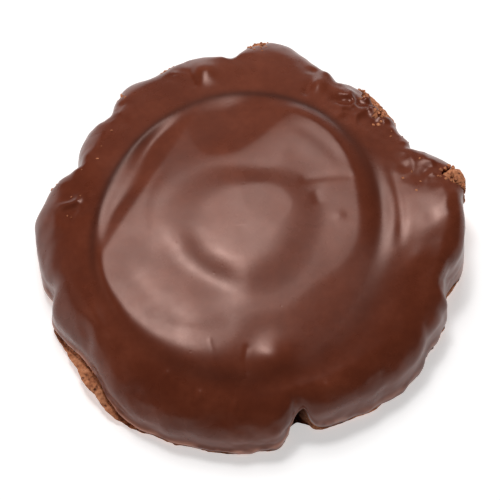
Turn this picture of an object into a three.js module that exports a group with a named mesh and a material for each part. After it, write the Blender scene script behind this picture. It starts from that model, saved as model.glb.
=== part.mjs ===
// An afghan biscuit: a crumbly cocoa biscuit under a chocolate coat that was poured over its top and
// ran down its sides. Millimetres, +Z up. The biscuit lies flat, its foot on the plane z = 0, with the
// origin below the middle of its outline.
import * as THREE from "three";

const degree = Math.PI / 180;

// Driving sizes
const meanReach = 34.4; // from the middle to the coat's edge, before the lobes below
const brim = { top: 14.8, fall: 6, start: 20, bend: 2 }; // falls this far from the start to the edge
const shoulder = { width: 3.2, drop: 3 }; // the rounded turn from the brim into the side
const rimBlur = { turn: 4, steps: 4, most: 1.6 }; // degrees over which lobes fade out above the shoulder
const raised = { x: -1.5, y: 1.6, top: 16, crown: 0.7, crownX: 8, crownY: 8 };
const groove = { radius: 25.1, oval: 1.8, ovalAt: 72, lean: 1.5, leanAt: 250, width: 1.5 };
const step = { width: 2.2, foot: 0.3, inCore: 4.5 }; // from the raised middle down into the groove
const mound = { x: -1.9, y: -0.1, rise: 0.34, flat: 5.2, fall: 8.5 }; // low, in the middle of it
const nearFall = { x: -1.9, y: -0.1, flat: 7, tilt: 0.105, soft: 3, at: 306, wide: 50 };
const coat = 1.2; // thickness of the chocolate
const gap = 0.3; // between the chocolate and the biscuit under it
const footInset = 2.6; // how far the flat foot lies inside the side
const footTurn = { out: 1.3, up: 0.2 }; // the low rounding between the foot and the side
const lip = { past: 0.07, inset: coat / 2 }; // how the hem's rounded lip stands below and inside the hem
const bareSide = { inset: 0.15, belowHem: 0.09, lowest: 1.93 }; // where the crumb shows under the hem
const flare = { full: 0.45, back: 0.5 }; // share of the way down where it is full, how much it goes back

// Lobes and nicks of the outline: degrees round from +X, millimetres out, degrees wide.
const edgeForms = [
  { at: 1, out: 1.0, wide: 9 },
  { at: 18, out: 2.4, wide: 7.2 },
  { at: 31, out: -1.9, wide: 3.2 },
  { at: 38, out: -2.2, wide: 8 },
  { at: 56, out: 1.3, wide: 6 },
  { at: 64, out: -1.0, wide: 2.2 },
  { at: 82, out: 6.1, wide: 10 },
  { at: 88, out: 1.5, wide: 4 },
  { at: 95, out: -1.2, wide: 3 },
  { at: 105, out: 3.0, wide: 10 },
  { at: 123, out: 2.9, wide: 7 },
  { at: 135, out: -1.0, wide: 3.4 },
  { at: 154, out: -2.8, wide: 5 },
  { at: 171, out: 1.6, wide: 11 },
  { at: 193, out: -1.1, wide: 4 },
  { at: 216, out: -1.8, wide: 11 },
  { at: 239, out: 0.7, wide: 9 },
  { at: 284, out: -2.3, wide: 4.1 },
  { at: 293, out: -2.1, wide: 13 },
  { at: 311, out: -1.0, wide: 7 },
  { at: 330, out: -0.8, wide: 6 },
  { at: 341, out: 0.6, wide: 1.8 },
  { at: 346, out: -1.7, wide: 7 },
];

// Where the coat ends, along the profile: 0 where the shoulder starts, 1 at its foot, 2 on the floor.
const meanHem = 1.76;
const hemForms = [
  { at: 18, out: -1.25, wide: 5.5 },
  { at: 36, out: -0.8, wide: 2 },
  { at: 45, out: -1.1, wide: 3.5 },
  { at: 53, out: -1.1, wide: 3.6 },
  { at: 88, out: -1.1, wide: 4 },
  { at: 88, out: -0.2, wide: 26 },
  { at: 113, out: -0.9, wide: 3 },
  { at: 128, out: -0.8, wide: 2 },
  { at: 161, out: -0.8, wide: 2.5 },
  { at: 221, out: -0.42, wide: 17 },
  { at: 285.5, out: -0.9, wide: 2.6 },
];

// By direction: the brim's height, where it starts to fall and how far, the step's width, the groove's
// extra depth, the length of the mound's fall, the bare side's inset at the hem and how much more it is
// further down, where less than nothing is a bulge.
const topForms = [
  { at: 92, out: -1.1, wide: 42 },
  { at: 302, out: -0.9, wide: 40 },
];
const startForms = [{ at: 302, out: -8, wide: 40 }];
const fallForms = [
  { at: 9, out: -6.5, wide: 25 },
  { at: 98, out: -3.2, wide: 46 },
  { at: 155, out: -0.6, wide: 20 },
  { at: 302, out: -2, wide: 40 },
];
const stepForms = [
  { at: 158, out: 2.6, wide: 16 },
  { at: 203, out: -0.9, wide: 16 },
  { at: 5, out: 0.5, wide: 30 },
  { at: 256, out: 2.2, wide: 13 },
  { at: 308, out: 6, wide: 28 },
];
const dipForms = [
  { at: 10, out: 0.3, wide: 26 },
  { at: 62, out: 0.15, wide: 20 },
];
const moundForms = [{ at: 80, out: -4.2, wide: 42 }];
const bareForms = [
  { at: 221, out: -0.2, wide: 14 },
  { at: 285.5, out: 1.3, wide: 2.8 },
];
const flareForms = [
  { at: 221, out: -2.2, wide: 15 },
  { at: 18, out: -0.5, wide: 6 },
  { at: 49, out: -0.4, wide: 9 },
  { at: 88, out: -0.3, wide: 5 },
  { at: 285.5, out: 1.2, wide: 2.4 },
];

// The raised middle is planed down past lines: the tilt, how soft the bend is, and for each line a
// place on it and the way it falls. The least distance past the lines counts.
const facets = [
  {
    tilt: 0.145,
    soft: 0.35,
    lines: [
      { x: -1.2, y: 13.1, falls: 90 },
      { x: -1.2, y: 13.1, falls: 136 },
      { x: -8.7, y: 13.1, falls: 32 },
    ],
  },
  { tilt: 0.11, soft: 0.2, lines: [{ x: -19.7, y: 4.2, falls: 164 }] },
];
const cornerRound = 2; // how round the corners between such lines are

// Swells and dips of the poured chocolate: arcs round a centre, with a radius, a span in degrees, a
// width and a rise.
const ripples = [
  { x: -1.5, y: 1.6, radius: 12.9, from: 9, to: 23, wide: 0.7, rise: -0.05 },
  { x: -1.5, y: 1.6, radius: 26.2, from: -12, to: 24, wide: 0.9, rise: -0.15 },
  { x: -1.5, y: 1.6, radius: 16.0, from: 135, to: 205, wide: 0.9, rise: -0.08 },
  { x: -1.5, y: 1.6, radius: 19.5, from: 192, to: 256, wide: 3.4, rise: 0.16 },
  { x: -1.5, y: 1.6, radius: 29.6, from: 176, to: 236, wide: 1.7, rise: 0.26 },
];

// Single lumps and dents: place, width and rise.
const lumps = [
  { x: -7.6, y: 32.2, wide: 1.6, rise: 1.1 },
  { x: -7.4, y: 34.2, wide: 1.4, rise: 0.9 },
  { x: 12.2, y: 29.4, wide: 1.5, rise: 1.0 },
  { x: 13.0, y: 31.4, wide: 1.4, rise: 0.9 },
  { x: 17.0, y: 27.6, wide: 1.3, rise: 0.8 },
  { x: 19.6, y: 26.0, wide: 1.2, rise: 0.9 },
  { x: 20.9, y: 23.4, wide: 1.3, rise: 0.8 },
  { x: 23.2, y: 22.0, wide: 1.3, rise: 0.7 },
  { x: 27.2, y: 13.6, wide: 1.7, rise: 0.4 },
  { x: 30.6, y: 12.2, wide: 1.5, rise: 0.5 },
  { x: -31.0, y: 5.4, wide: 1.0, rise: 0.3 },
  { x: 6.5, y: -24.5, wide: 3.2, rise: -0.3 },
  { x: 1.7, y: -22.9, wide: 2.3, rise: 0.6 },
];

// The outline's and the sides' own unevenness.
const edgeWaves = [
  { turns: 13, lean: 0, size: 0.1 },
  { turns: 23, lean: 0, size: 0.1 },
  { turns: 37, lean: 0, size: 0.08 },
];
const sideWaves = [
  { turns: 11, lean: 1.1, size: 0.16 },
  { turns: 19, lean: 2.3, size: 0.12 },
  { turns: 31, lean: -1.7, size: 0.08 },
];
const crags = [
  { turns: 23, lean: 5.1, size: 0.16 },
  { turns: 41, lean: -7.3, size: 0.14 },
  { turns: 59, lean: 9.7, size: 0.12 },
];

const wavePhase = 2.4; // turns each wave on from the one before it
const rippleFade = { past: 1.1, share: 0.67 }; // how a ripple runs out at both ends of its arc

// Mesh fineness
const fullRing = 128;
const halvings = [0.74, 0.4, 0.2, 0.1]; // shares of the reach inside which a ring has half the points
const edgeward = 8; // power that keeps the sideways part of an inset to the rings near the edge
const topRings = 22;
const underRings = 10;
const hemRings = 5;

const bell = (offset, wide) => Math.exp(-((offset / wide) ** 2));
const turnBetween = (a, b) => ((((a - b) % 360) + 540) % 360) - 180; // degrees, -180 to 180

function smoothStep(t) {
  const s = Math.min(1, Math.max(0, t));
  return s * s * (3 - 2 * s);
}

// A value that varies round the outline: its mean plus a bell curve for each form.
function roundTheEdge(mean, forms, angle) {
  return forms.reduce(
    (sum, form) => sum + form.out * bell(turnBetween(angle / degree, form.at), form.wide),
    mean,
  );
}

// A sum of sine waves that run round the side and lean with height.
function waves(list, angle, along) {
  return list.reduce(
    (sum, wave, i) => sum + wave.size * Math.sin(wave.turns * angle + wave.lean * along + wavePhase * i),
    0,
  );
}

const plainReach = (angle) => roundTheEdge(meanReach, edgeForms, angle);
const edgeReach = (angle) => plainReach(angle) + waves(edgeWaves, angle, 0);
const hemAt = (angle) => roundTheEdge(meanHem, hemForms, angle);

// Where the shoulder starts: inside the mean of the reach at nearby angles, so that lobes and nicks
// belong to the shoulder and the side.
function rimReach(angle) {
  let sum = 0;
  for (let i = -rimBlur.steps; i <= rimBlur.steps; i += 1) {
    sum += plainReach(angle + i * rimBlur.turn * degree);
  }
  const blurred = sum / (2 * rimBlur.steps + 1);
  return Math.min(blurred, plainReach(angle) + rimBlur.most) - shoulder.width;
}

// The groove's radius: its mean, a cosine of the angle and one of twice the angle.
function grooveReach(angle) {
  const lean = groove.lean * Math.cos(angle - groove.leanAt * degree);
  return groove.radius + lean + groove.oval * Math.cos(2 * (angle - groove.ovalAt * degree));
}

const softRamp = (past, soft) => (Math.hypot(past, soft) + past) / 2; // 0 before a line, rises past it

function brimHeight(x, y) {
  const angle = Math.atan2(y, x);
  const start = roundTheEdge(brim.start, startForms, angle);
  const outward = Math.max(0, (Math.hypot(x, y) - start) / (meanReach - start));
  const fall = roundTheEdge(brim.fall, fallForms, angle);
  return roundTheEdge(brim.top, topForms, angle) - fall * outward ** brim.bend;
}

// How far the near side of the raised middle has sunk, past a flat disc.
function nearSink(x, y) {
  const dx = x - nearFall.x;
  const dy = y - nearFall.y;
  const share = bell(turnBetween(Math.atan2(dy, dx) / degree, nearFall.at), nearFall.wide);
  return nearFall.tilt * share * softRamp(Math.hypot(dx, dy) - nearFall.flat, nearFall.soft);
}

function moundSink(x, y) {
  const dx = x - mound.x;
  const dy = y - mound.y;
  const run = roundTheEdge(mound.fall, moundForms, Math.atan2(dy, dx));
  return mound.rise * smoothStep((Math.hypot(dx, dy) - mound.flat) / run);
}

const softLeast = (a, b) => (a + b - Math.hypot(a - b, cornerRound)) / 2; // rounded where both are alike

function planed(facet, x, y) {
  const past = facet.lines.map(
    (line) => (x - line.x) * Math.cos(line.falls * degree) + (y - line.y) * Math.sin(line.falls * degree),
  );
  return facet.tilt * softRamp(past.reduce(softLeast), facet.soft);
}

function raisedHeight(x, y) {
  const out = Math.hypot(x - raised.crownX, y - raised.crownY) / groove.radius;
  const facetSink = facets.reduce((sum, facet) => sum + planed(facet, x, y), 0);
  return raised.top - raised.crown * out ** 2 - nearSink(x, y) - moundSink(x, y) - facetSink;
}

// Height of the brim and the raised middle, without ripples; an inset takes it down to the core.
function broadForm(x, y, inset) {
  const angle = Math.atan2(y - raised.y, x - raised.x);
  const inside = grooveReach(angle) - step.foot - Math.hypot(x - raised.x, y - raised.y);
  const wide = roundTheEdge(step.width, stepForms, angle) + (inset === 0 ? 0 : step.inCore);
  const low = brimHeight(x, y);
  return low + smoothStep(inside / wide) * (raisedHeight(x, y) - low) - inset;
}

function rippleHeight(ripple, x, y) {
  const dx = x - ripple.x;
  const dy = y - ripple.y;
  const middle = (ripple.from + ripple.to) / 2;
  const halfSpan = (ripple.to - ripple.from) / 2;
  const off = Math.abs(turnBetween(Math.atan2(dy, dx) / degree, middle)) / halfSpan;
  const strength = smoothStep((rippleFade.past - off) / rippleFade.share);
  return ripple.rise * strength * bell(Math.hypot(dx, dy) - ripple.radius, ripple.wide);
}

// Everything the chocolate's own surface adds to the broad form.
function relief(x, y) {
  const angle = Math.atan2(y - raised.y, x - raised.x);
  const fromGroove = Math.hypot(x - raised.x, y - raised.y) - grooveReach(angle);
  const dip = -roundTheEdge(0, dipForms, angle) * bell(fromGroove, groove.width);
  const arcs = ripples.reduce((sum, ripple) => sum + rippleHeight(ripple, x, y), 0);
  const single = lumps.reduce(
    (sum, lump) => sum + lump.rise * bell(Math.hypot(x - lump.x, y - lump.y), lump.wide),
    0,
  );
  return dip + arcs + single;
}

const polar = (angle, radius, height) =>
  new THREE.Vector3(radius * Math.cos(angle), radius * Math.sin(angle), height);

// A point of the top, at a share of the way from the middle to the shoulder, sunk by an inset.
function topPoint(angle, share, inset) {
  const radius = share * rimReach(angle) - inset * share ** edgeward;
  const place = polar(angle, radius, 0);
  place.z = broadForm(place.x, place.y, inset);
  if (inset === 0) place.z += relief(place.x, place.y);
  return place;
}

// A point of the shoulder (along 0 to 1) or of the side under it (1 to 2), sunk by an inset.
function sidePoint(angle, along, inset) {
  const turn = Math.min(along, 1) * 90 * degree;
  const rim = rimReach(angle);
  const radius = rim - inset + (edgeReach(angle) - rim) * Math.sin(turn);
  const place = polar(angle, radius, 0);
  let height = broadForm(place.x, place.y, inset) - shoulder.drop * (1 - Math.cos(turn));
  let outward = 0;
  if (inset === 0) {
    height += relief(place.x, place.y) * Math.cos(turn);
    outward = waves(sideWaves, angle, along) * Math.sin(turn);
  }
  if (along > 1) height *= 2 - along;
  return polar(angle, radius + outward, height);
}

// A ring of points, with fewer of them near the middle.
function ring(share, pointAt) {
  const count = halvings.reduce((n, limit) => (share < limit ? n / 2 : n), fullRing);
  return Array.from({ length: count }, (_, i) => pointAt((i / count) * 360 * degree));
}

// Joins two neighbouring rings, which may hold different numbers of points, with triangles.
function stitch(upper, lower, triangles) {
  const point = (loop, i) => loop[i % loop.length];
  let a = 0;
  let b = 0;
  const upperSteps = upper.length > 1 ? upper.length : 0;
  const lowerSteps = lower.length > 1 ? lower.length : 0;
  while (a < upperSteps || b < lowerSteps) {
    const nextUpper = a < upperSteps ? (a + 1) / upperSteps : Infinity;
    const nextLower = b < lowerSteps ? (b + 1) / lowerSteps : Infinity;
    if (nextUpper <= nextLower) {
      triangles.push(point(upper, a), point(lower, b), point(upper, a + 1));
      a += 1;
    } else {
      triangles.push(point(upper, a), point(lower, b), point(lower, b + 1));
      b += 1;
    }
  }
}

// The triangles of a skin through rings that run outwards, or of one that faces the other way.
function skin(rings, facesIn = false) {
  const triangles = [];
  for (let i = 1; i < rings.length; i += 1) stitch(rings[i - 1], rings[i], triangles);
  return facesIn ? triangles.reverse() : triangles;
}

function bodyOf(triangles) {
  const geometry = new THREE.BufferGeometry().setFromPoints(triangles);
  geometry.computeVertexNormals();
  return geometry;
}

const counting = (steps) => Array.from({ length: steps }, (_, i) => (i + 1) / steps);

// The rings of an inner skin at an inset, from the middle of the top to the hem and a little past it.
function innerRings(inset, pastHem) {
  const rings = [[topPoint(0, 0, inset)]];
  for (const share of counting(underRings)) rings.push(ring(share, (a) => topPoint(a, share, inset)));
  for (const share of counting(hemRings - 2)) {
    rings.push(ring(1, (a) => sidePoint(a, share * (hemAt(a) + pastHem), inset)));
  }
  return rings;
}

// The chocolate: its top surface out to the hem, round the hem's lip, and its inside.
function coatGeometry() {
  const outside = [[topPoint(0, 0, 0)]];
  for (const share of counting(topRings)) outside.push(ring(share, (a) => topPoint(a, share, 0)));
  for (const share of counting(hemRings)) {
    outside.push(ring(1, (a) => sidePoint(a, share * hemAt(a), 0)));
  }
  outside.push(ring(1, (a) => sidePoint(a, hemAt(a) + lip.past, lip.inset)));
  const inside = innerRings(coat, 0);
  return bodyOf([...skin([...outside, inside.at(-1)]), ...skin(inside, true)]);
}

// The biscuit: it fills the coat, comes out flush under the hem, and is flat and cragged below.
function biscuitGeometry() {
  const belowHem = [0.2, 0.5, 0.8]; // shares of the way from the hem to the floor
  const rings = innerRings(coat + gap, lip.past / 3);
  for (const share of belowHem) {
    rings.push(
      ring(1, (a) => {
        const along = hemAt(a) + bareSide.belowHem + share * (bareSide.lowest - hemAt(a));
        const inset = roundTheEdge(bareSide.inset, bareForms, a) + waves(crags, a, along);
        const grown = smoothStep(share / flare.full) * (1 - flare.back * share ** 2);
        return sidePoint(a, along, inset + grown * roundTheEdge(0, flareForms, a));
      }),
    );
  }
  const foot = (a) => edgeReach(a) - footInset;
  rings.push(ring(1, (a) => polar(a, foot(a) + footTurn.out, footTurn.up)));
  for (const share of [1, 0.65, 0.3]) rings.push(ring(share, (a) => polar(a, foot(a) * share, 0)));
  rings.push([polar(0, 0, 0)]);
  return bodyOf(skin(rings));
}

// Names a mesh, with its colour and finish.
function piece(name, geometry, finish) {
  const mesh = new THREE.Mesh(geometry, new THREE.MeshStandardMaterial({ metalness: 0, ...finish }));
  mesh.name = name;
  return mesh;
}

const afghan = new THREE.Group();
afghan.add(
  piece("cocoa_biscuit", biscuitGeometry(), { color: 0x8b5038, roughness: 0.92 }),
  piece("chocolate_coat", coatGeometry(), { color: 0x5e2e1e, roughness: 0.34 }),
);

// Sets the origin below the middle of the outline.
const box = new THREE.Box3().setFromObject(afghan);
const middle = box.getCenter(new THREE.Vector3());
afghan.position.set(-middle.x, -middle.y, -box.min.z);

export default afghan;
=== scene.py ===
import functools
import math
import bpy
import numpy as np
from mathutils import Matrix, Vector


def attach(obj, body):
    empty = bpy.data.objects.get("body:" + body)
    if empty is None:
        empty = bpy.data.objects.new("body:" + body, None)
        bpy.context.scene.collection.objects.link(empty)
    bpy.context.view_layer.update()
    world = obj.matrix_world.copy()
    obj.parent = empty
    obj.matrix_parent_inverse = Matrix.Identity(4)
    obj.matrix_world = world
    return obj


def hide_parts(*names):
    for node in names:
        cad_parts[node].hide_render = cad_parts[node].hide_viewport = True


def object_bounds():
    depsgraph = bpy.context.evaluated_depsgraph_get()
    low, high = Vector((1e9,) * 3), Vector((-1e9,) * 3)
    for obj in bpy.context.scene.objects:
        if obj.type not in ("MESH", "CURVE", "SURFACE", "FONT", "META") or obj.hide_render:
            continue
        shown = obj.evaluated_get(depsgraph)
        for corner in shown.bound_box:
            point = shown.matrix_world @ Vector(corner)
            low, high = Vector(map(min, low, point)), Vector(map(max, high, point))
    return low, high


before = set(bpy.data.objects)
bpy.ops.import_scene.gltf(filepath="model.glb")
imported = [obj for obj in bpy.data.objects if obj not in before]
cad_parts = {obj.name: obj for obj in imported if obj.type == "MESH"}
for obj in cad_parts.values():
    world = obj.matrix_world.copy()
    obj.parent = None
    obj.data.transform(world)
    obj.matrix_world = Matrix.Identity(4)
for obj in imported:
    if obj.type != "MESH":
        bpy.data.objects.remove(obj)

cadLow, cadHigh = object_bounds()
mm = 0.001
print("frame loaded, box in mm:", [round(side / mm, 2) for side in cadHigh - cadLow])


# Formulas that the pieces share, all on whole arrays.
def bell(offset, wide):  # e to the power of minus (offset over width) squared
    return np.exp(-(offset / wide) ** 2)


def smoothStep(share):  # 3s² - 2s³, with s held between 0 and 1
    held = np.clip(share, 0, 1)
    return held * held * (3 - 2 * held)


def turnBetween(first, second):  # degrees from the second angle round to the first, -180 to 180
    return (first - second + 540) % 360 - 180


def roundTheEdge(mean, forms, angle):  # the mean plus one bell curve of the angle for each form
    degrees = np.degrees(angle)
    return mean + sum(out * bell(turnBetween(degrees, at), wide) for at, out, wide in forms)


latticeCount = 40  # cells each way before a random lattice repeats


# Smooth random field: random numbers on a cubic lattice, blended from the eight corners round
# each point with the smooth step. The result lies between -1 and 1.
def field(place, size, seed):
    count = latticeCount
    lattice = np.random.default_rng(seed).uniform(-1, 1, (count, count, count))
    scaled = place / size
    corner = np.floor(scaled).astype(int)
    share = smoothStep(scaled - corner)
    total = np.zeros(place.shape[:-1])
    for step in np.ndindex(2, 2, 2):
        weight = np.prod(np.where(step, share, 1 - share), axis=-1)
        index = (corner + step) % count
        total += weight * lattice[index[..., 0], index[..., 1], index[..., 2]]
    return total


def waveSum(place, waves):  # random fields of the given size, height and seed, added up
    return sum(high * field(place, size, seed) for size, high, seed in waves)


# Rounded grains: one random point in each lattice cell, and at every place one minus the
# squared distance to the nearest of them, so each grain is a small dome.
def grains(place, size, seed):
    count = latticeCount
    jitter = np.random.default_rng(seed).uniform(0.1, 0.9, (count, count, count, 3))
    scaled = place / size
    cell = np.floor(scaled).astype(int)
    nearest = np.full(place.shape[:-1], 9.0)  # further than the nearest can be
    for step in np.ndindex(3, 3, 3):
        other = cell + np.array(step) - 1
        index = other % count
        point = other + jitter[index[..., 0], index[..., 1], index[..., 2]]
        nearest = np.minimum(nearest, np.sum((point - scaled) ** 2, axis=-1))
    return 1 - nearest


# Distance from each place to a line of straight pieces, in the plane.
def distanceToLine(x, y, points):
    nearest = np.full(x.shape, 1e6)
    for (ax, ay), (bx, by) in zip(points[:-1], points[1:]):
        dx, dy = bx - ax, by - ay
        share = np.clip(((x - ax) * dx + (y - ay) * dy) / (dx * dx + dy * dy), 0, 1)
        nearest = np.minimum(nearest, np.hypot(x - ax - share * dx, y - ay - share * dy))
    return nearest


form = {                        # the biscuit's form, in millimetres
    "meanReach": 34.4,          # from the middle to the coat's edge, before the lobes
    "brimTop": 14.8,            # height of the brim where it starts to fall
    "brimFall": 6.0,            # how far it has fallen at the mean reach
    "brimStart": 20.0,          # radius where it starts to fall
    "brimBend": 2.0,            # power of the fall: 1 is a cone, 2 a dome
    "shoulderWidth": 3.2,       # the rounded turn from the brim into the side
    "rimBlur": 16,              # degrees over which lobes and nicks fade out above the shoulder
    "rimTurns": 9,              # angles that the blur is the mean of
    "rimSlack": 1.6,            # how far the blurred reach may lie outside the true one
    "insetBend": 8,             # power of the way out by which an inset draws the top in
    "reliefDepth": 0.05,        # relief shows on what lies less than this below the surface
    "shoulderDrop": 3.0,        # how far it falls
    "extraDrop": 0.7,           # and how much more for each millimetre that it is wider
    "coat": 1.2,                # thickness of the chocolate
    "gap": 0.3,                 # between the chocolate and the biscuit under it
    "footInset": 2.6,           # how far the flat foot lies inside the side
    "shift": (0.164, -3.158),   # sets the middle of the outline above the origin
}

topForms = [(92, -0.8, 42), (302, -0.9, 40), (275, -0.55, 15)]  # where the brim starts higher or lower
startForms = [(302, -8.0, 40)]  # nearer the middle or further out
fallForms = [(9, -6.5, 25), (98, -3.2, 46), (155, -0.6, 20), (302, -2.0, 40)]  # more or less fall

raised = {
    "middle": (-1.5, 1.6),
    "top": 16.0,                # height of the raised middle
    "crownAt": (8.0, 8.0),      # the highest place of its crown
    "crown": 0.7,               # how far it has sunk at the groove's radius
    "groove": 25.1,             # mean radius of the ring-shaped dip round it
    "oval": 1.8,                # the ring is a little longer one way
    "ovalAt": 72,
    "lean": 1.5,                # and lies over to one side
    "leanAt": 250,
    "foot": 0.3,                # how far inside the groove the step down starts
    "step": 2.2,                # mean width of the step
    "grooveWidth": 1.5,
}

dipForms = [(4, 0.28, 20)]  # where the groove is deeper than the step's own foot

stepForms = [(158, 2.6, 16), (203, -0.9, 12), (12, 1.6, 30), (250, 4.4, 22), (308, 6, 28),
             (84, 1.6, 36), (276, 5.5, 18)]  # wider or narrower

nearFall = {                    # the raised middle sinks from its flat centre towards one side
    "middle": (-1.9, -0.1),
    "flat": 7.0,
    "tilt": 0.085,
    "soft": 3.0,
    "at": 306,
    "wide": 50,
}

mound = {                       # the low mound in the middle of it, its fall shorter on one side
    "middle": (-1.9, -0.1),
    "rise": 0.38,
    "flat": 5.2,
    "fall": 8.5,
}
moundForms = [(84, -3.4, 46), (238, -2.0, 34)]  # how much longer or shorter its fall is
moundFlatForms = [(96, 1.4, 34), (44, 2.2, 26), (20, 1.0, 22)]  # and how much wider its flat middle

facets = [  # it is planed down past lines: tilt, softness, then a place on each line and the way it falls
    (0.125, 0.35, [(-1.2, 12.5, 90), (-1.2, 13.1, 136), (-9.9, 15.5, 17)]),
    (0.085, 2.5, [(-9.0, 10.5, 118)]),
    (0.15, 0.3, [(-19.4, 4.2, 150)]),
]
cornerRound = 2.6  # how round the corners between such lines are

edgeForms = [  # lobes and nicks: degrees round from +X, millimetres out, degrees wide
    (1, 1.0, 9), (18, 2.4, 7.2), (31, -1.9, 3.2), (38, -2.2, 8), (56, 1.3, 6), (64, -1.0, 2.2),
    (82, 6.1, 10), (88, 1.5, 4), (95, -1.2, 3), (105, 3.0, 10), (123, 2.9, 7), (135, -1.0, 3.4),
    (154, -2.8, 5), (171, 1.6, 11), (193, -1.1, 4), (216, -1.35, 11), (239, 0.7, 9), (284, -2.3, 4.1),
    (293, -2.1, 13), (311, -1.0, 7), (330, -0.8, 6), (341, 0.6, 1.8), (346, -1.7, 7),
]
edgeWaves = [(13, 0.10), (23, 0.10), (37, 0.08)]  # turns and size
wavePhase = 2.4  # turns each wave on from the one before it

shoulderForms = [(225, 1.6, 26), (268, 1.4, 26), (315, 1.4, 22)]

meanHem = 1.76  # where the coat ends: 0 where the shoulder starts, 1 at its foot, 2 on the floor
hemForms = [
    (18, -1.52, 5.2), (36, -1.1, 2), (46.5, -1.5, 4.8), (55, -1.45, 4.8), (88, -1.35, 4), (88, -0.2, 26),
    (113, -1.3, 3), (128, -1.2, 2.4), (161, -1.1, 2.5), (221, -0.46, 15), (285.3, -0.95, 3.2),
    (256, 0.12, 16), (320, 0.12, 22),
]

hemWander = {                   # the hem's random wander
    "waves": [(2.6, 0.05, 11), (1.1, 0.045, 12)],  # size, height and seed
    "bareFrom": 1.45,           # it grows where the hem ends above this,
    "bareOver": 0.7,            # over so much,
    "bareMore": 3.5,            # by up to so many times
}

rippleFade = (1.1, 0.67)  # share of its half length where an arc has faded out, and over how much

ripples = [  # arcs: x, y, radius, from and to in degrees, width, rise
    (-1.5, 1.6, 12.9, 9, 23, 0.7, -0.05),
    (-1.5, 1.6, 26.2, -12, 24, 0.9, -0.15),
    (-1.5, 1.6, 16.0, 135, 205, 1.0, -0.04),
    (-1.5, 1.6, 19.4, 28, 66, 1.3, -0.06),
    (-1.5, 1.6, 15.2, 26, 62, 2.4, -0.07),
    (-1.5, 1.6, 19.5, 192, 262, 3.4, 0.22),
    (-1.5, 1.6, 29.6, 176, 236, 1.7, 0.26),
    (-1.9, -0.1, 10.3, 176, 276, 3.0, -0.27),
]

lumps = [  # single lumps and dents: x, y, width, rise
    (-7.6, 31.2, 2.4, 1.1), (11.8, 29.0, 2.2, 1.1), (13.2, 31.6, 1.4, 0.5), (9.5, 20.5, 6.5, 0.20),
    (20.5, 1.0, 4.5, 0.12),
    (16.6, 27.4, 1.3, 0.9), (19.4, 26.4, 1.2, 0.9), (20.9, 23.4, 1.3, 0.8), (23.2, 22.0, 1.3, 0.7),
    (27.2, 13.6, 1.7, 0.4), (30.6, 12.2, 1.5, 0.5), (14.5, 1.9, 0.9, 0.06),
    (-31.0, 5.4, 1.0, 0.3), (-28.6, 6.0, 0.9, 0.25), (3.7, -23.2, 3.0, 0.74),
    (-8.2, -28.9, 0.6, 0.28), (-2.9, -31.4, 0.6, 0.32), (-2.0, -31.9, 0.45, 0.25), (-2.4, -30.4, 0.4, 0.25),
    (6.2, -30.1, 0.5, 0.28), (12.4, -27.2, 0.5, 0.22), (-13.6, -25.6, 0.5, 0.20),
]

roughPatches = [  # where the coat is crinkled over crumb: x, y, width, rise
    (19.0, 24.9, 4.4, 1.0), (29.6, 13.0, 3.4, 0.45), (25.6, 18.4, 3.0, 0.30), (-29.6, 5.2, 2.6, 0.42),
    (-12.6, 31.6, 2.6, 0.30), (-22.6, 24.6, 2.8, 0.30), (11.6, 31.4, 2.4, 0.22), (-31.6, 12.6, 2.6, 0.30),
]
roughFolds = {                  # their folds: a mean less the size of one field, plus a finer one
    "size": 2.3,
    "mean": 0.5,
    "sharp": 1.4,
    "fine": 0.5,
    "seeds": (51, 52),
}

threads = [  # thin raised threads and creases: width, rise, then their points
    (0.3, 0.025, [(-6.6, -20.3), (-6.0, -22.6), (-4.6, -24.9), (-1.9, -27.6)]),
    (0.5, -0.08, [(-0.6, -21.6), (-0.9, -23.4), (-0.6, -25.2)]),
    (0.9, -0.06, [(9.0, 8.6), (12.6, 9.1), (16.2, 9.4)]),
    (0.25, 0.12, [(22.0, -22.4), (23.4, -24.6), (24.2, -26.8)]),
    (0.8, -0.40, [(9.3, 26.6), (10.4, 29.6), (10.9, 32.2)]),
    (0.8, -0.35, [(-9.4, 28.4), (-10.2, 31.0), (-10.6, 34.0)]),
]


def edgeReach(angle):  # the named forms plus a few sine waves
    wander = sum(size * np.sin(turns * angle + wavePhase * i) for i, (turns, size) in enumerate(edgeWaves))
    return roundTheEdge(form["meanReach"], edgeForms, angle) + wander


def shoulderExtra(angle):  # how much wider the shoulder is on the near side, which bends more gently
    return roundTheEdge(0, shoulderForms, angle)


def rimReach(angle):  # where the shoulder starts: the mean of the reach at nearby angles, less its width
    nearby = np.radians(np.linspace(-form["rimBlur"], form["rimBlur"], form["rimTurns"]))
    blurred = sum(roundTheEdge(form["meanReach"], edgeForms, angle + turn) for turn in nearby) / len(nearby)
    least = np.minimum(blurred, roundTheEdge(form["meanReach"], edgeForms, angle) + form["rimSlack"])
    return least - form["shoulderWidth"] - shoulderExtra(angle)


def hemAt(angle):  # the named forms plus a fine random wander, wider where the crumb lies bare
    ring = np.stack([np.cos(angle), np.sin(angle), 0 * angle], axis=-1) * form["meanReach"]
    hem = roundTheEdge(meanHem, hemForms, angle)
    ragged = 1 + hemWander["bareMore"] * smoothStep((hemWander["bareFrom"] - hem) / hemWander["bareOver"])
    return hem + ragged * waveSum(ring, hemWander["waves"])


def grooveReach(angle):  # the mean radius, a cosine of the angle and one of twice the angle
    lean = raised["lean"] * np.cos(angle - math.radians(raised["leanAt"]))
    return raised["groove"] + lean + raised["oval"] * np.cos(2 * (angle - math.radians(raised["ovalAt"])))


def softRamp(past, soft):  # 0 before the line and rising one for one past it, with a soft bend
    return (np.hypot(past, soft) + past) / 2


def softLeast(first, second):  # the smaller of two values, rounded where they are nearly alike
    return (first + second - np.hypot(first - second, cornerRound)) / 2


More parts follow.
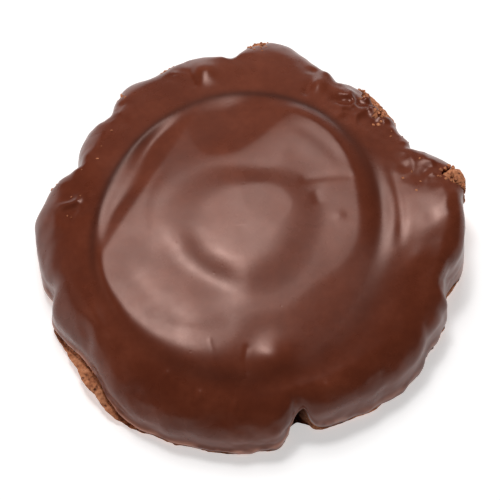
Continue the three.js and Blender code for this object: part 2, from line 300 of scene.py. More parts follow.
# The brim falls with a power of the way out. Inside the groove a smooth step blends it into the
# raised middle. That is a crown, falling with the square of the distance from its highest place,
# less three things: the near fall, a soft ramp of the distance times a bell curve of the angle;
# the mound's smooth step; and the facets, each a tilt times the soft ramp past its lines.
def broadForm(x, y, inset):
    angle = np.arctan2(y, x)
    start = roundTheEdge(form["brimStart"], startForms, angle)
    outward = (np.hypot(x, y) - start) / (form["meanReach"] - start)
    fall = roundTheEdge(form["brimFall"], fallForms, angle)
    brimTop = roundTheEdge(form["brimTop"], topForms, angle)
    brim = brimTop - fall * np.maximum(outward, 0) ** form["brimBend"]
    dx, dy = x - raised["middle"][0], y - raised["middle"][1]
    around, out = np.arctan2(dy, dx), np.hypot(dx, dy)
    step = roundTheEdge(raised["step"], stepForms, around)
    level = smoothStep((grooveReach(around) - raised["foot"] - out) / step)
    mx, my = x - nearFall["middle"][0], y - nearFall["middle"][1]
    near = bell(turnBetween(np.degrees(np.arctan2(my, mx)), nearFall["at"]), nearFall["wide"])
    sunk = nearFall["tilt"] * near * softRamp(np.hypot(mx, my) - nearFall["flat"], nearFall["soft"])
    planed = 0
    for tilt, soft, lines in facets:
        past = [(x - cx) * math.cos(math.radians(way)) + (y - cy) * math.sin(math.radians(way))
                for cx, cy, way in lines]
        planed = planed + tilt * softRamp(functools.reduce(softLeast, past), soft)
    ox, oy = x - mound["middle"][0], y - mound["middle"][1]
    run = roundTheEdge(mound["fall"], moundForms, np.arctan2(oy, ox))
    flat = roundTheEdge(mound["flat"], moundFlatForms, np.arctan2(oy, ox))
    sunk = sunk + mound["rise"] * smoothStep((np.hypot(ox, oy) - flat) / run)
    crown = np.hypot(x - raised["crownAt"][0], y - raised["crownAt"][1]) / raised["groove"]
    top = raised["top"] - raised["crown"] * crown ** 2 - sunk - planed
    return brim + level * (top - brim) - inset


# What the chocolate's own surface adds: the ring-shaped dip, arcs, lumps and threads, each a
# bell curve of the distance from its middle line, and folds made of two random fields.
def relief(x, y):
    dx, dy = x - raised["middle"][0], y - raised["middle"][1]
    around = np.arctan2(dy, dx)
    dip = bell(np.hypot(dx, dy) - grooveReach(around), raised["grooveWidth"])
    total = -roundTheEdge(0, dipForms, around) * dip
    for cx, cy, radius, start, end, wide, rise in ripples:
        span = turnBetween(np.degrees(np.arctan2(y - cy, x - cx)), (start + end) / 2)
        strength = smoothStep((rippleFade[0] - np.abs(span) / ((end - start) / 2)) / rippleFade[1])
        total += rise * strength * bell(np.hypot(x - cx, y - cy) - radius, wide)
    for cx, cy, wide, rise in lumps:
        total += rise * bell(np.hypot(x - cx, y - cy), wide)
    for wide, rise, points in threads:
        total += rise * bell(distanceToLine(x, y, points), wide)
    flat = np.stack([x, y, 0 * x], axis=-1)
    broad = field(flat, roughFolds["size"], roughFolds["seeds"][0])
    fine = field(flat, roughFolds["size"] / 2, roughFolds["seeds"][1])
    folds = roughFolds["mean"] - np.abs(broad) * roughFolds["sharp"] + roughFolds["fine"] * fine
    for cx, cy, wide, rise in roughPatches:
        total += rise * bell(np.hypot(x - cx, y - cy), wide) * folds
    return total


# A place on the skin at an inset below the surface: share 0 to 1 runs over the top from the
# middle to the shoulder, along 0 to 1 round the shoulder and 1 to 2 down the side to the floor.
def skinPlace(angle, share, along, inset):
    rim = rimReach(angle)
    turn = np.minimum(along, 1) * math.pi / 2
    radius = share * rim - inset * share ** form["insetBend"] + (edgeReach(angle) - rim) * np.sin(turn)
    x, y = radius * np.cos(angle), radius * np.sin(angle)
    drop = form["shoulderDrop"] + form["extraDrop"] * shoulderExtra(angle)
    height = broadForm(x, y, inset) - drop * (1 - np.cos(turn))
    height += np.where(inset < form["reliefDepth"], relief(x, y) * np.cos(turn), 0)
    height *= np.where(along > 1, 2 - along, 1)
    return np.stack([x, y, height], axis=-1)


def skinMiddle(inset):  # the single place in the middle of the top
    return skinPlace(np.zeros(1), 0.0, np.zeros(1), inset)[0]


def ringAngles(count):  # evenly round, half a step off the axis
    return (np.arange(count) + 0.5) / count * 2 * math.pi


def stepsUp(count):  # 1/count, 2/count and so on up to 1
    return np.linspace(0, 1, count + 1)[1:]


def stepsDown(count):  # from 1 down, ending one step short of 0
    return np.linspace(1, 0, count, endpoint=False)


# Unit normals of a grid of places: the cross product of the steps along its two directions.
def gridNormals(grid):
    down = np.gradient(grid, axis=0)
    roundStep = (np.roll(grid, -1, axis=1) - np.roll(grid, 1, axis=1)) / 2
    cross = np.cross(down, roundStep)
    return cross / np.maximum(np.linalg.norm(cross, axis=-1, keepdims=True), 1e-9)


grooveShadeLine = {                  # the painted shade along the groove: a dark line of colour
    "offset": [(62, -0.9, 60), (150, -0.5, 30), (235, -0.9, 20), (312, 1.3, 25)],  # out from its middle
    "strength": [(75, 0.75, 42), (150, 0.8, 34), (190, 0.35, 16), (15, 0.30, 34), (262, 0.40, 30),
                 (330, 0.25, 30)],
    "width": [(12, 0.8, 30), (262, 0.9, 34), (320, 1.2, 30)],  # added to the mean width
    "meanWidth": 0.75,
}


# How strong the painted shade along the groove is at a place: a bell curve of the distance from its line, 0
# to 1.
def paintedGrooveShade(x, y):
    dx, dy = x - raised["middle"][0], y - raised["middle"][1]
    around = np.arctan2(dy, dx)
    line = grooveReach(around) + roundTheEdge(0, grooveShadeLine["offset"], around)
    wide = roundTheEdge(grooveShadeLine["meanWidth"], grooveShadeLine["width"], around)
    return roundTheEdge(0, grooveShadeLine["strength"], around) * bell(np.hypot(dx, dy) - line, wide)


# Millimetres to metres in the frame, held inside the solids' box less a margin.
def toFrame(places, margin):
    moved = (places + [*form["shift"], 0]) * mm
    return np.clip(moved, np.array(cadLow) + margin, np.array(cadHigh) - margin)


def placeObject(name, data):  # an object of a mesh, light or camera, in the scene
    placed = bpy.data.objects.new(name, data)
    bpy.context.collection.objects.link(placed)
    return placed


boxMargin = 0.00002  # metres that the coat and the biscuit stay inside the solids' box


# A closed mesh from a grid of rings: quads between the rings, which run round without a seam,
# and a fan of triangles to a single point at each end. Its vertices carry the painted shade along
# the groove and a second painted mark of the given name (a painted highlight on the coat, painted
# shade in the biscuit's nick), 0 at both ends.
def ringedMesh(name, grid, firstPole, lastPole, paintedMarkName, tones):
    rings, count = grid.shape[:2]
    places = np.concatenate([[firstPole], grid.reshape(-1, 3), [lastPole]])
    # tone is the painted shade along the groove, kept on the vertices under the name groove
    tone = paintedGrooveShade(places[:, 0], places[:, 1])
    places = toFrame(places, boxMargin)
    here = 1 + np.arange(rings - 1)[:, None] * count + np.arange(count)
    beside = 1 + np.arange(rings - 1)[:, None] * count + (np.arange(count) + 1) % count
    quads = np.stack([here, here + count, beside + count, beside], axis=-1).reshape(-1, 4)
    ring = np.arange(count)
    firstFan = np.stack([0 * ring, 1 + ring, 1 + (ring + 1) % count], axis=-1)
    start = 1 + (rings - 1) * count
    lastFan = np.stack([0 * ring + len(places) - 1, start + (ring + 1) % count, start + ring], axis=-1)
    mesh = bpy.data.meshes.new(name)
    mesh.from_pydata(places.tolist(), [], firstFan.tolist() + quads.tolist() + lastFan.tolist())
    mesh.polygons.foreach_set("use_smooth", np.ones(len(mesh.polygons), dtype=bool))
    mesh.update()
    mesh.attributes.new("groove", "FLOAT", "POINT").data.foreach_set("value", tone)
    values = np.concatenate([[0], tones.ravel(), [0]])
    mesh.attributes.new(paintedMarkName, "FLOAT", "POINT").data.foreach_set("value", values)
    return placeObject(name, mesh)


coatFinish = {                   # the coat's grid, its fine unevenness and its hem
    "angles": 780,
    "topRings": 72,
    "crowding": 0.8,             # power that sets the rings closer together near the edge
    "sideRings": 30,
    "lipRings": 6,
    "backRings": 5,
    "underRings": 6,
    "lipReach": 0.07,            # how far the lip hangs past the hem
    "thinLip": 0.45,             # how much thinner it gets where the crumb lies bare
    "bareFrom": 1.55,            # bare is where the hem ends above this,
    "bareOver": 0.4,             # over so much
    "thinFrom": 0.7,             # share of the way down where the coat starts to thin,
    "thinOver": 0.3,             # over so much
    "shortLip": 0.6,             # how much shorter the lip is there
    "waves": [(9.0, 0.06, 21), (4.0, 0.018, 22)],       # size, height and seed of the slow unevenness
    "edgeWaves": [(4.6, 0.26, 23), (2.1, 0.12, 24)],    # more of it on the brim and the side,
    "edgeFade": (9.0, 8.0),      # from so far inside the edge, over so much
    "crumbUnder": (1.9, 0.22, 25),  # grains that show through near the edge,
    "grainMean": 0.6,            # counted from this height of a grain,
    "rimFade": (3.4, 3.0),       # from so far inside the edge, over so much,
    "patches": (6.0, 0.35, 31),  # in patches of this size, surplus and seed
    "bead": [(222, 0.50, 28), (262, 0.22, 22), (318, 0.16, 24), (285, 0.2, 6)],  # how swollen the hem is
    "beadAt": 0.9,               # share of the way down to the hem
    "beadWide": 0.07,
    "hemHighlightWidth": 0.08,             # width of the painted highlight line along the hem
    # how strong the painted highlight along the hem is round the biscuit, and its mean
    "hemHighlightForms": [(225, 0.6, 36), (262, 0.4, 24), (318, 0.15, 28), (160, 0.2, 20), (285, 0.3, 6)],
    "hemHighlightMean": 0.25,
    "hemHighlightBreaks": [(2.4, 1.2, 47), (0.9, 0.6, 48)],  # what breaks the line up, round its own mean
    "hemHighlightBreakMean": 0.6,
}


# Height that the coat's fine unevenness adds along the normal: slow waves, more waves that fade
# in with a smooth step towards the edge, and near it grains, in patches.
def coatUnevenness(place):
    plan = coatFinish
    edge = edgeReach(np.arctan2(place[..., 1], place[..., 0])) - np.hypot(place[..., 0], place[..., 1])
    outer = smoothStep((plan["edgeFade"][0] - edge) / plan["edgeFade"][1])
    rim = smoothStep((plan["rimFade"][0] - edge) / plan["rimFade"][1])
    size, surplus, seed = plan["patches"]
    patchy = smoothStep(field(place, size, seed) + surplus)
    total = waveSum(place, plan["waves"]) + outer * waveSum(place, plan["edgeWaves"])
    size, high, seed = plan["crumbUnder"]
    return total + rim * patchy * high * (grains(place, size, seed) - plan["grainMean"])


# The coat: rings over the top and down the side to the hem, half a circle round the lip, and
# back up and inwards at the coat's thickness below. The outside is then moved along its normals
# by the unevenness, fading out round the lip. Its painted highlight along the hem is a bell curve of the
# way to the bead.
def makeCoat():
    plan = coatFinish
    angle = ringAngles(plan["angles"])
    hem = hemAt(angle)
    rows = [(share, 0 * hem, 0.0) for share in stepsUp(plan["topRings"]) ** plan["crowding"]]
    bare = smoothStep((plan["bareFrom"] - hem) / plan["bareOver"])
    thin = plan["thinLip"] * bare
    down = stepsUp(plan["sideRings"])
    for share in down:
        bead = bell(share - plan["beadAt"], plan["beadWide"]) * roundTheEdge(0, plan["bead"], angle)
        thinning = max(0, (share - plan["thinFrom"]) / plan["thinOver"]) ** 2
        rows.append((1.0, share * hem, thin * thinning - bead))
    lip = plan["lipReach"] * (1 - plan["shortLip"] * bare)
    for turn in np.linspace(0, math.pi, plan["lipRings"] + 2)[1:-1]:
        inset = thin + (form["coat"] - thin) / 2 * (1 - math.cos(turn))
        rows.append((1.0, hem + lip * math.sin(turn), inset))
    rows += [(1.0, share * hem, form["coat"]) for share in stepsDown(plan["backRings"])]
    rows += [(share, 0 * hem, form["coat"]) for share in stepsDown(plan["underRings"])]
    grid = np.stack([skinPlace(angle, share, along, inset) for share, along, inset in rows])
    outside = plan["topRings"] + plan["sideRings"]
    weight = np.zeros(len(rows))
    weight[:outside] = 1
    weight[outside:outside + plan["lipRings"]] = np.linspace(1, 0, plan["lipRings"] + 1)[1:]
    grid += gridNormals(grid) * (coatUnevenness(grid) * weight[:, None])[..., None]
    # a painted highlight: a lighter line of colour along the hem, kept on the vertices under the name hem
    line = np.zeros(len(rows))
    line[plan["topRings"]:outside] = bell(down - plan["beadAt"], plan["hemHighlightWidth"])
    broken = np.clip(plan["hemHighlightBreakMean"] + waveSum(grid, plan["hemHighlightBreaks"]), 0, 1)
    paintedHemHighlight = line[:, None] * roundTheEdge(plan["hemHighlightMean"], plan["hemHighlightForms"], angle) * broken
    middle = skinMiddle(0.0)
    middle[2] += coatUnevenness(middle[None])[0]
    return ringedMesh("chocolateCoat", grid, middle, skinMiddle(form["coat"]), "hem", paintedHemHighlight)


crumbFinish = {                  # the biscuit's grid, its flare under the hem and its grains
    "angles": 880,
    "topRings": 8,
    "backRings": 8,
    "sideRings": 34,
    "turnRings": 5,
    "footRings": 46,
    "inset": 0.15,               # how far the bare side lies inside the coat's outside
    "start": [(221, -0.42, 14), (285.0, 3.2, 3.0)],  # and where less or more, at the hem
    "flare": [(221, -1.75, 15), (18, -0.5, 6), (49, -0.4, 9), (88, -0.3, 5), (285.0, 0.5, 2.4)],
    "bulge": (0.30, 0.5),        # share of the way down where the flare is full, how much it goes back
    "belowHem": 0.09,
    "lowest": 1.93,
    "turnOut": 1.3,
    "turnUp": 0.2,
    "grains": [(1.8, 0.45, 41), (0.75, 0.16, 42)],  # size, height and seed of those on the side
    "grainMean": 0.72,           # counted from this height of a grain
    "drift": [(5.0, 0.25, 43)],
    "pit": (2.6, 0.55, 44),      # size, depth and seed of the hollows in the foot,
    "pitEdge": (0.82, 0.18),     # from this height of a grain, over so much,
    "pitPatches": (7.0, 0.2, 45),   # in patches of this size, surplus and seed
    "footWave": (1.2, 0.1, 46),
    "paintedNickShade": [(285, 1.0, 3.4)],  # where the crumb lies deep in a nick, with painted shade
}


# The biscuit: rings at the coat's and the gap's depth out to the hem, the bare side from there
# to the floor, flared by a smooth step and drawn back with the square of the way down, a short
# turn and the foot. The side is moved along its normals by grains, and the foot has pits.
def makeBiscuit():
    plan = crumbFinish
    angle = ringAngles(plan["angles"])
    hem = hemAt(angle)
    under = form["coat"] + form["gap"]
    covered = [skinPlace(angle, share, 0 * hem, under) for share in stepsUp(plan["topRings"])]
    covered += [skinPlace(angle, 1.0, share * hem, under) for share in stepsUp(plan["backRings"])]
    start = hem + plan["belowHem"]
    flare = roundTheEdge(0, plan["flare"], angle)
    bare = roundTheEdge(plan["inset"], plan["start"], angle)
    full, back = plan["bulge"]
    side = [skinPlace(angle, 1.0, start + share * (plan["lowest"] - start),
                      bare + flare * smoothStep(share / full) * (1 - back * share ** 2))
            for share in np.linspace(0, 1, plan["sideRings"])]
    foot = edgeReach(angle) - form["footInset"]

    def footPlace(radius, height):
        return np.stack([radius * np.cos(angle), radius * np.sin(angle), height + 0 * angle], axis=-1)

    last = side[-1]
    toe = footPlace(foot + plan["turnOut"], plan["turnUp"])
    turn = [last + (toe - last) * share for share in np.linspace(0, 1, plan["turnRings"])[1:]]
    bottom = [footPlace(foot * share, 0.0) for share in stepsDown(plan["footRings"])]
    grid = np.stack(covered + side + turn + bottom)
    push = sum(high * (grains(grid, size, seed) - plan["grainMean"]) for size, high, seed in plan["grains"])
    push += waveSum(grid, plan["drift"])
    weight = np.ones(len(grid))
    weight[:len(covered)] = 0
    weight[-plan["footRings"]:] = 0
    grid += gridNormals(grid) * (push * weight[:, None])[..., None]
    sole = grid[-plan["footRings"]:]
    size, surplus, seed = plan["pitPatches"]
    patchy = smoothStep(field(sole, size, seed) + surplus)
    size, deep, seed = plan["pit"]
    pits = smoothStep((grains(sole, size, seed) - plan["pitEdge"][0]) / plan["pitEdge"][1])
    sole[..., 2] += deep * (pits * patchy)
    size, high, seed = plan["footWave"]
    sole[..., 2] += high * smoothStep(field(sole, size, seed))
    grid[..., 2] = np.maximum(grid[..., 2], 0)
    # painted shade deep in the nick, kept on the vertices; none on the foot
    paintedNickShade = roundTheEdge(0, plan["paintedNickShade"], angle) * np.ones((len(grid), 1))
    paintedNickShade[-plan["footRings"]:] = 0
    return ringedMesh("cocoaBiscuit", grid, skinMiddle(under), np.zeros(3), "paintedNickShade", paintedNickShade)


looseCrumbs = {                  # groups of grains on the coat and at the bare places
    "atHem": [  # degrees, spread, along from and to as counted from the hem, count, size from and to in mm
        (46, 5, -0.25, 0.2, 26, 0.6, 1.4), (56, 4, -0.25, 0.2, 20, 0.6, 1.4),
        (18, 6, -0.25, 0.5, 50, 0.5, 1.3), (34, 5, -0.6, 0.0, 14, 0.3, 0.8),
        (88, 5, -0.3, 0.3, 34, 0.4, 1.0), (113, 3, -0.3, 0.3, 22, 0.4, 1.0),
        (128, 3, -0.3, 0.3, 24, 0.4, 1.1), (161, 4, -0.3, 0.3, 34, 0.4, 1.1),
        (222, 17, -0.12, 0.12, 90, 0.3, 0.9),
    ],
    "onTop": [  # degrees, spread, share from and to of the way to the shoulder, count, size from and to
        (24, 10, 0.84, 1.0, 5, 0.6, 1.0), (45, 9, 0.92, 1.0, 6, 0.5, 1.0),
        (152, 20, 0.92, 1.0, 6, 0.4, 0.8), (171, 5, 0.88, 0.98, 3, 0.5, 0.8),
    ],
    "squash": (0.55, 1.0),       # how flat a grain is at the most, and at the least
    "jitter": 0.22,
    "edgeLimit": 2.1,            # the ball's neighbouring corners lie 2 apart, the others further
    "sunk": 0.15,                # share of its size that its middle lies below the surface
    "seed": 61,
}


# Grains: a twenty-sided ball for each, jittered, squashed and turned at random, set into the
# coat's surface at random places within its group.
def makeLooseCrumbs():
    plan = looseCrumbs
    rng = np.random.default_rng(plan["seed"])
    golden = (1 + math.sqrt(5)) / 2
    card = np.array([(a, b * golden, 0) for a in (-1, 1) for b in (-1, 1)], dtype=float)
    ball = np.concatenate([card, np.roll(card, 1, axis=1), np.roll(card, 2, axis=1)])
    corners = len(ball)
    near = np.linalg.norm(ball[:, None] - ball[None], axis=-1) < plan["edgeLimit"]
    faces = [(i, j, k) for i in range(corners) for j in range(i + 1, corners) for k in range(j + 1, corners)
             if near[i, j] and near[j, k] and near[i, k]]
    faces = [f if np.linalg.det(ball[list(f)]) > 0 else f[::-1] for f in faces]
    ball /= np.linalg.norm(ball[0])
    spots, sizes = [], []
    for rows, atHem in ((plan["atHem"], True), (plan["onTop"], False)):
        for at, spread, start, end, count, small, large in rows:
            angle = np.radians(at + spread * rng.uniform(-1, 1, count))
            where = rng.uniform(start, end, count)
            if atHem:
                place = skinPlace(angle, 1.0, np.maximum(hemAt(angle) + where, 0), 0.0)
            else:
                place = skinPlace(angle, where, 0 * angle, 0.0)
            place[:, 2] += coatUnevenness(place)
            spots.append(place)
            sizes.append(small + (large - small) * rng.random(count) ** 2)
    spots, sizes = np.concatenate(spots), np.concatenate(sizes)
    total = len(sizes)
    turn = np.linalg.qr(rng.normal(size=(total, 3, 3)))[0]
    squash = rng.uniform(*plan["squash"], (total, 1, 3))
    grain = (ball[None] * (1 + plan["jitter"] * rng.uniform(-1, 1, (total, corners, 1)))) * squash
    turn *= np.sign(np.linalg.det(turn))[:, None, None]
    grain = grain @ turn * sizes[:, None, None] / 2
    grain += (spots - plan["sunk"] * sizes[:, None] * [0, 0, 1])[:, None]
    places = toFrame(grain.reshape(-1, 3), 0)
    index = (np.array(faces)[None] + corners * np.arange(total)[:, None, None]).reshape(-1, 3)
    mesh = bpy.data.meshes.new("looseCrumbs")
    mesh.from_pydata(places.tolist(), [], index.tolist())
    mesh.update()
    return placeObject("looseCrumbs", mesh)


# A shader node group with sockets of the given kind, label and value.
def newGroup(name, inputs, outputs):
    group = bpy.data.node_groups.new(name, "ShaderNodeTree")
    for kind, label, value in inputs:
        socket = group.interface.new_socket(label, in_out="INPUT", socket_type=kind)
        if value is not None:
            socket.default_value = value
    for kind, label in outputs:
        group.interface.new_socket(label, in_out="OUTPUT", socket_type=kind)
    return group, group.nodes.new("NodeGroupInput"), group.nodes.new("NodeGroupOutput")


# A node with its settings; an input is named by its label, or by its number after an underscore,
# and takes a value or a link from another node.
def addNode(tree, kind, settings=None, **inputs):
    node = tree.nodes.new(kind)
    for key, value in (settings or {}).items():
        setattr(node, key, value)
    for key, value in inputs.items():
        socket = node.inputs[int(key[1:])] if key[0] == "_" else node.inputs[key.replace("_", " ")]
        if isinstance(value, bpy.types.NodeSocket):
            tree.links.new(value, socket)
        else:
            socket.default_value = value
    return node


def mathNode(tree, operation, first, second):  # one arithmetic step on two values or sockets
    return addNode(tree, "ShaderNodeMath", {"operation": operation}, _0=first, _1=second).outputs[0]


# Slow tone changes: two noises of different size added up, as a value round 0.5.
def makeMottle():
    group, given, out = newGroup(
        "mottle",
        [("NodeSocketVector", "Place", None), ("NodeSocketFloat", "Broad", 120.0),
         ("NodeSocketFloat", "Fine", 600.0), ("NodeSocketFloat", "Share", 0.35)],
        [("NodeSocketFloat", "Tone")])
    broad = addNode(group, "ShaderNodeTexNoise", Vector=given.outputs["Place"],
                    Scale=given.outputs["Broad"], Detail=3.0)
    fine = addNode(group, "ShaderNodeTexNoise", Vector=given.outputs["Place"],
                   Scale=given.outputs["Fine"], Detail=4.0)
    tone = addNode(group, "ShaderNodeMix", {"data_type": "FLOAT"}, _0=given.outputs["Share"],
                   _2=broad.outputs[0], _3=fine.outputs[0])
    group.links.new(tone.outputs[0], out.inputs["Tone"])
    return group


# Fine relief: grain from noise, with small round pits where a cell pattern's distance is short.
def makeGrit():
    group, given, out = newGroup(
        "grit",
        [("NodeSocketVector", "Place", None), ("NodeSocketFloat", "Grain", 1500.0),
         ("NodeSocketFloat", "Pits", 700.0), ("NodeSocketFloat", "Pit Size", 0.2),
         ("NodeSocketFloat", "Pit Depth", 1.0)],
        [("NodeSocketFloat", "Height"), ("NodeSocketFloat", "Pit")])
    grain = addNode(group, "ShaderNodeTexNoise", Vector=given.outputs["Place"],
                    Scale=given.outputs["Grain"], Detail=5.0, Roughness=0.6)
    cells = addNode(group, "ShaderNodeTexVoronoi", Vector=given.outputs["Place"],
                    Scale=given.outputs["Pits"])
    pit = addNode(group, "ShaderNodeMapRange", {"interpolation_type": "SMOOTHSTEP"},
                  Value=cells.outputs["Distance"], From_Min=0.0, From_Max=given.outputs["Pit Size"],
                  To_Min=1.0, To_Max=0.0)
    deep = mathNode(group, "MULTIPLY", pit.outputs[0], given.outputs["Pit Depth"])
    height = mathNode(group, "SUBTRACT", grain.outputs[0], deep)
    group.links.new(height, out.inputs["Height"])
    group.links.new(pit.outputs[0], out.inputs["Pit"])
    return group


mottle, grit = makeMottle(), makeGrit()


def newMaterial(name):  # with its tree, the place on the object and the shader
    material = bpy.data.materials.new(name)
    material.use_nodes = True
    tree = material.node_tree
    place = tree.nodes.new("ShaderNodeTexCoord").outputs["Object"]
    return material, tree, place, tree.nodes["Principled BSDF"]


def useGroup(tree, group, place, **inputs):  # a node that runs a group at a place
    return addNode(tree, "ShaderNodeGroup", {"node_tree": group}, Place=place, **inputs)


def colourRamp(tree, value, stops):  # a colour for each value, blended between the stops
    ramp = tree.nodes.new("ShaderNodeValToRGB")
    tree.links.new(value, ramp.inputs[0])
    for index, (at, colour) in enumerate(stops):
        element = ramp.color_ramp.elements[index] if index < 2 else ramp.color_ramp.elements.new(at)
        element.position, element.color = at, (*colour, 1)
    return ramp.outputs["Color"]


# A colour moved towards another by the vertex value of the given name: 0 keeps it, 1 replaces it.
def blendByVertex(tree, name, colour, other):
    share = addNode(tree, "ShaderNodeAttribute", {"attribute_name": name}).outputs["Fac"]
    blend = addNode(tree, "ShaderNodeMix", {"data_type": "RGBA"}, Factor=share, _6=colour, _7=(*other, 1))
    return blend.outputs[2]


# Fine relief as a bend of the shader's normal; depth in metres.
def bumpNormal(tree, shader, look, height):
    bump = addNode(tree, "ShaderNodeBump", Strength=look["bump"], Distance=look["bumpDepth"], Height=height)
    tree.links.new(bump.outputs[0], shader.inputs["Normal"])


chocolate = {                    # linear colours, then the noises: features a metre and their blend
    "dark": (0.125, 0.0250, 0.0103),
    "mid": (0.147, 0.0308, 0.0128),
    "light": (0.180, 0.0411, 0.0184),
    # groove: the colour of the painted shade along the groove
    "groove": (0.040, 0.0075, 0.0035),
    # hem: the colour of the painted highlight along the hem
    "hem": (0.60, 0.270, 0.190),
    "stops": (0.36, 0.5, 0.66),  # tones at which the dark, mid and light colours lie
    "tone": {"Broad": 130.0, "Fine": 900.0, "Share": 0.3},
    "sheen": {"Broad": 90.0, "Fine": 420.0, "Share": 0.4},
    "sheenRange": (0.35, 0.65),  # values of the sheen's noise at the two roughnesses
    "roughness": (0.25, 0.33),
    "grit": {"Grain": 900.0, "Pits": 330.0, "Pit_Size": 0.1, "Pit_Depth": 1.2},
    "bump": 0.12,
    "bumpDepth": 0.00006,
    "ior": 1.5,
    "specular": 0.36,
    "specularTint": (1.0, 0.70, 0.62),
}


# Three colours by a slow noise, with painted shade along the groove and a painted highlight
# along the hem; the sheen changes with a second noise.
def makeChocolate():
    material, tree, place, shader = newMaterial("chocolate")
    tone = useGroup(tree, mottle, place, **chocolate["tone"]).outputs["Tone"]
    stops = zip(chocolate["stops"], (chocolate["dark"], chocolate["mid"], chocolate["light"]))
    # painted shade along the groove darkens the colour
    colour = blendByVertex(tree, "groove", colourRamp(tree, tone, stops), chocolate["groove"])
    # a painted highlight along the hem lightens the colour
    tree.links.new(blendByVertex(tree, "hem", colour, chocolate["hem"]), shader.inputs["Base Color"])
    sheen = useGroup(tree, mottle, place, **chocolate["sheen"]).outputs["Tone"]
    rough = addNode(tree, "ShaderNodeMapRange", Value=sheen,
                    From_Min=chocolate["sheenRange"][0], From_Max=chocolate["sheenRange"][1],
                    To_Min=chocolate["roughness"][0], To_Max=chocolate["roughness"][1])
    tree.links.new(rough.outputs[0], shader.inputs["Roughness"])
    fine = useGroup(tree, grit, place, **chocolate["grit"])
    bumpNormal(tree, shader, chocolate, fine.outputs["Height"])
    shader.inputs["IOR"].default_value = chocolate["ior"]
    shader.inputs["Specular IOR Level"].default_value = chocolate["specular"]
    shader.inputs["Specular Tint"].default_value = (*chocolate["specularTint"], 1)
    return material


crumb = {
    # the colour of the painted shade deep in the nick
    "paintedNickShade": (0.045, 0.014, 0.007),
    # pit: the colour of the painted shade in the crumb's pits
    "pit": (0.15, 0.048, 0.022),
    "dark": (0.34, 0.122, 0.058),
    "mid": (0.56, 0.215, 0.100),
    "light": (0.78, 0.350, 0.185),
    "stops": (0.22, 0.4, 0.5, 0.66),  # tones at which the pit, dark, mid and light colours lie
    "tone": {"Broad": 300.0, "Fine": 1700.0, "Share": 0.6},
    "grit": {"Grain": 1900.0, "Pits": 900.0, "Pit_Size": 0.32, "Pit_Depth": 0.9},
    "pitShade": 0.25,            # how much painted shade darkens a pit's tone
    "roughness": 0.92,
    "bump": 0.8,
    "bumpDepth": 0.0003,
    "ior": 1.35,
}


# Four colours by a noise less painted shade in the pits, and painted shade in the deep nick.
def makeCrumb():
    material, tree, place, shader = newMaterial("cocoaCrumb")
    tone = useGroup(tree, mottle, place, **crumb["tone"]).outputs["Tone"]
    fine = useGroup(tree, grit, place, **crumb["grit"])
    # painted shade in the pits lowers the tone
    shade = mathNode(tree, "MULTIPLY", fine.outputs["Pit"], crumb["pitShade"])
    value = mathNode(tree, "SUBTRACT", tone, shade)
    stops = zip(crumb["stops"], (crumb["pit"], crumb["dark"], crumb["mid"], crumb["light"]))
    colour = blendByVertex(tree, "paintedNickShade", colourRamp(tree, value, stops), crumb["paintedNickShade"])
    tree.links.new(colour, shader.inputs["Base Color"])
    shader.inputs["Roughness"].default_value = crumb["roughness"]
    shader.inputs["IOR"].default_value = crumb["ior"]
    bumpNormal(tree, shader, crumb, fine.outputs["Height"])
    return material


# A piece gets its material, rides the one body and stands for its solid, which is hidden.
def finishPiece(piece, material, node):
    piece.data.materials.append(material)
    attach(piece, "root")
    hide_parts(node)


coatPiece = makeCoat()
finishPiece(coatPiece, makeChocolate(), "chocolate_coat")
print("coat:", len(coatPiece.data.polygons), "faces")
cocoaCrumb = makeCrumb()
biscuitPiece = makeBiscuit()
finishPiece(biscuitPiece, cocoaCrumb, "cocoa_biscuit")
print("biscuit:", len(biscuitPiece.data.polygons), "faces")
crumbsPiece = makeLooseCrumbs()
finishPiece(crumbsPiece, cocoaCrumb, "cocoa_biscuit")
print("loose crumbs:", len(crumbsPiece.data.polygons), "faces")


studio = {                      # lengths in metres
    "elevation": 62,            # of the camera
    "distance": 0.7,
    "lookAt": (0.00008, -0.00271, 0.0060),
    "frameWidth": 0.0828,       # width that the picture covers at the biscuit
    "sensorWidth": 36,          # in millimetres
    "clip": (0.05, 20),
    "floor": 0.8,               # the floor's grey
    "floorHalf": 2.5,
    "floorRoughness": 0.8,
    "floorGlow": 0.5,
    "world": 0.1,
    "worldTint": (1, 0.985, 0.97),
    "cardTint": (1, 0.7, 0.6),
}


def compassDirection(azimuth, elevation):  # azimuth 0 is straight back, positive to the right
    flat = math.cos(math.radians(elevation))
    turn = math.radians(azimuth)
    return Vector((math.sin(turn) * flat, math.cos(turn) * flat, math.sin(math.radians(elevation))))


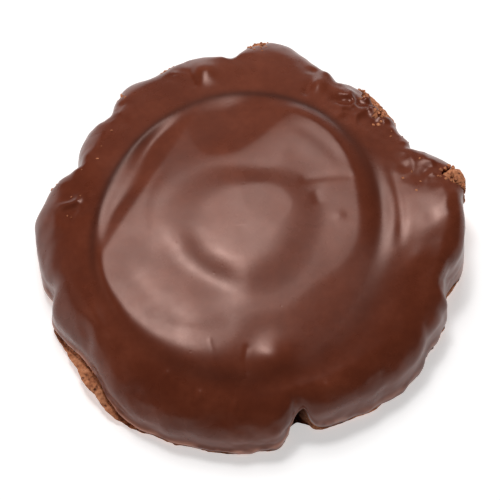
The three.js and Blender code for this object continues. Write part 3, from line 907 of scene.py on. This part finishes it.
# A rectangle of light that faces the biscuit; its power is radiance times pi times its area.
def softbox(name, azimuth, elevation, distance, width, height, radiance, tint=(1, 1, 1)):
    light = bpy.data.lights.new(name, "AREA")
    light.shape, light.size, light.size_y = "RECTANGLE", width, height
    light.energy, light.color = radiance * math.pi * width * height, tint
    lamp = placeObject(name, light)
    direction = compassDirection(azimuth, elevation)
    lamp.location = direction * distance
    lamp.rotation_euler = direction.to_track_quat("Z", "Y").to_euler()
    lamp.visible_camera = False


softbox("mainSoftbox", azimuth=-12, elevation=67, distance=1.2, width=0.44, height=0.48, radiance=8.7)
softbox("softboxCore", azimuth=-24, elevation=73, distance=1.15, width=0.16, height=0.16, radiance=36.0)
softbox("backCard", azimuth=4, elevation=27, distance=1.3, width=1.5, height=0.85, radiance=0.55,
        tint=studio["cardTint"])
softbox("leftCard", azimuth=-84, elevation=28, distance=1.3, width=0.8, height=0.7, radiance=0.7,
        tint=studio["cardTint"])

world = bpy.data.worlds.new("studioWorld")
bpy.context.scene.world = world
world.use_nodes = True
world.node_tree.nodes["Background"].inputs["Color"].default_value = (*studio["worldTint"], 1)
world.node_tree.nodes["Background"].inputs["Strength"].default_value = studio["world"]

floorMesh = bpy.data.meshes.new("floor")
floorCorners = [(x * studio["floorHalf"], y * studio["floorHalf"], 0)
                for x, y in ((-1, -1), (1, -1), (1, 1), (-1, 1))]
floorMesh.from_pydata(floorCorners, [], [(0, 1, 2, 3)])
floor = placeObject("floor", floorMesh)
floor.location.z = cadLow[2]
floorMaterial = newMaterial("paleFloor")[0]
floorShader = floorMaterial.node_tree.nodes["Principled BSDF"]
floorShader.inputs["Base Color"].default_value = (studio["floor"],) * 3 + (1,)
floorShader.inputs["Roughness"].default_value = studio["floorRoughness"]
floorShader.inputs["Emission Color"].default_value = (1, 1, 1, 1)
floorShader.inputs["Emission Strength"].default_value = studio["floorGlow"]
floorMesh.materials.append(floorMaterial)

camera = placeObject("camera", bpy.data.cameras.new("camera"))
camera.data.sensor_width = studio["sensorWidth"]
camera.data.lens = camera.data.sensor_width * studio["distance"] / studio["frameWidth"]
viewLine = compassDirection(180, studio["elevation"])
camera.location = Vector(studio["lookAt"]) + viewLine * studio["distance"]
camera.rotation_euler = viewLine.to_track_quat("Z", "Y").to_euler()
camera.data.clip_start, camera.data.clip_end = studio["clip"]
bpy.context.scene.camera = camera
bpy.context.scene.view_settings.view_transform = "Standard"
bpy.context.scene.view_settings.look = "None"
print("studio ready")
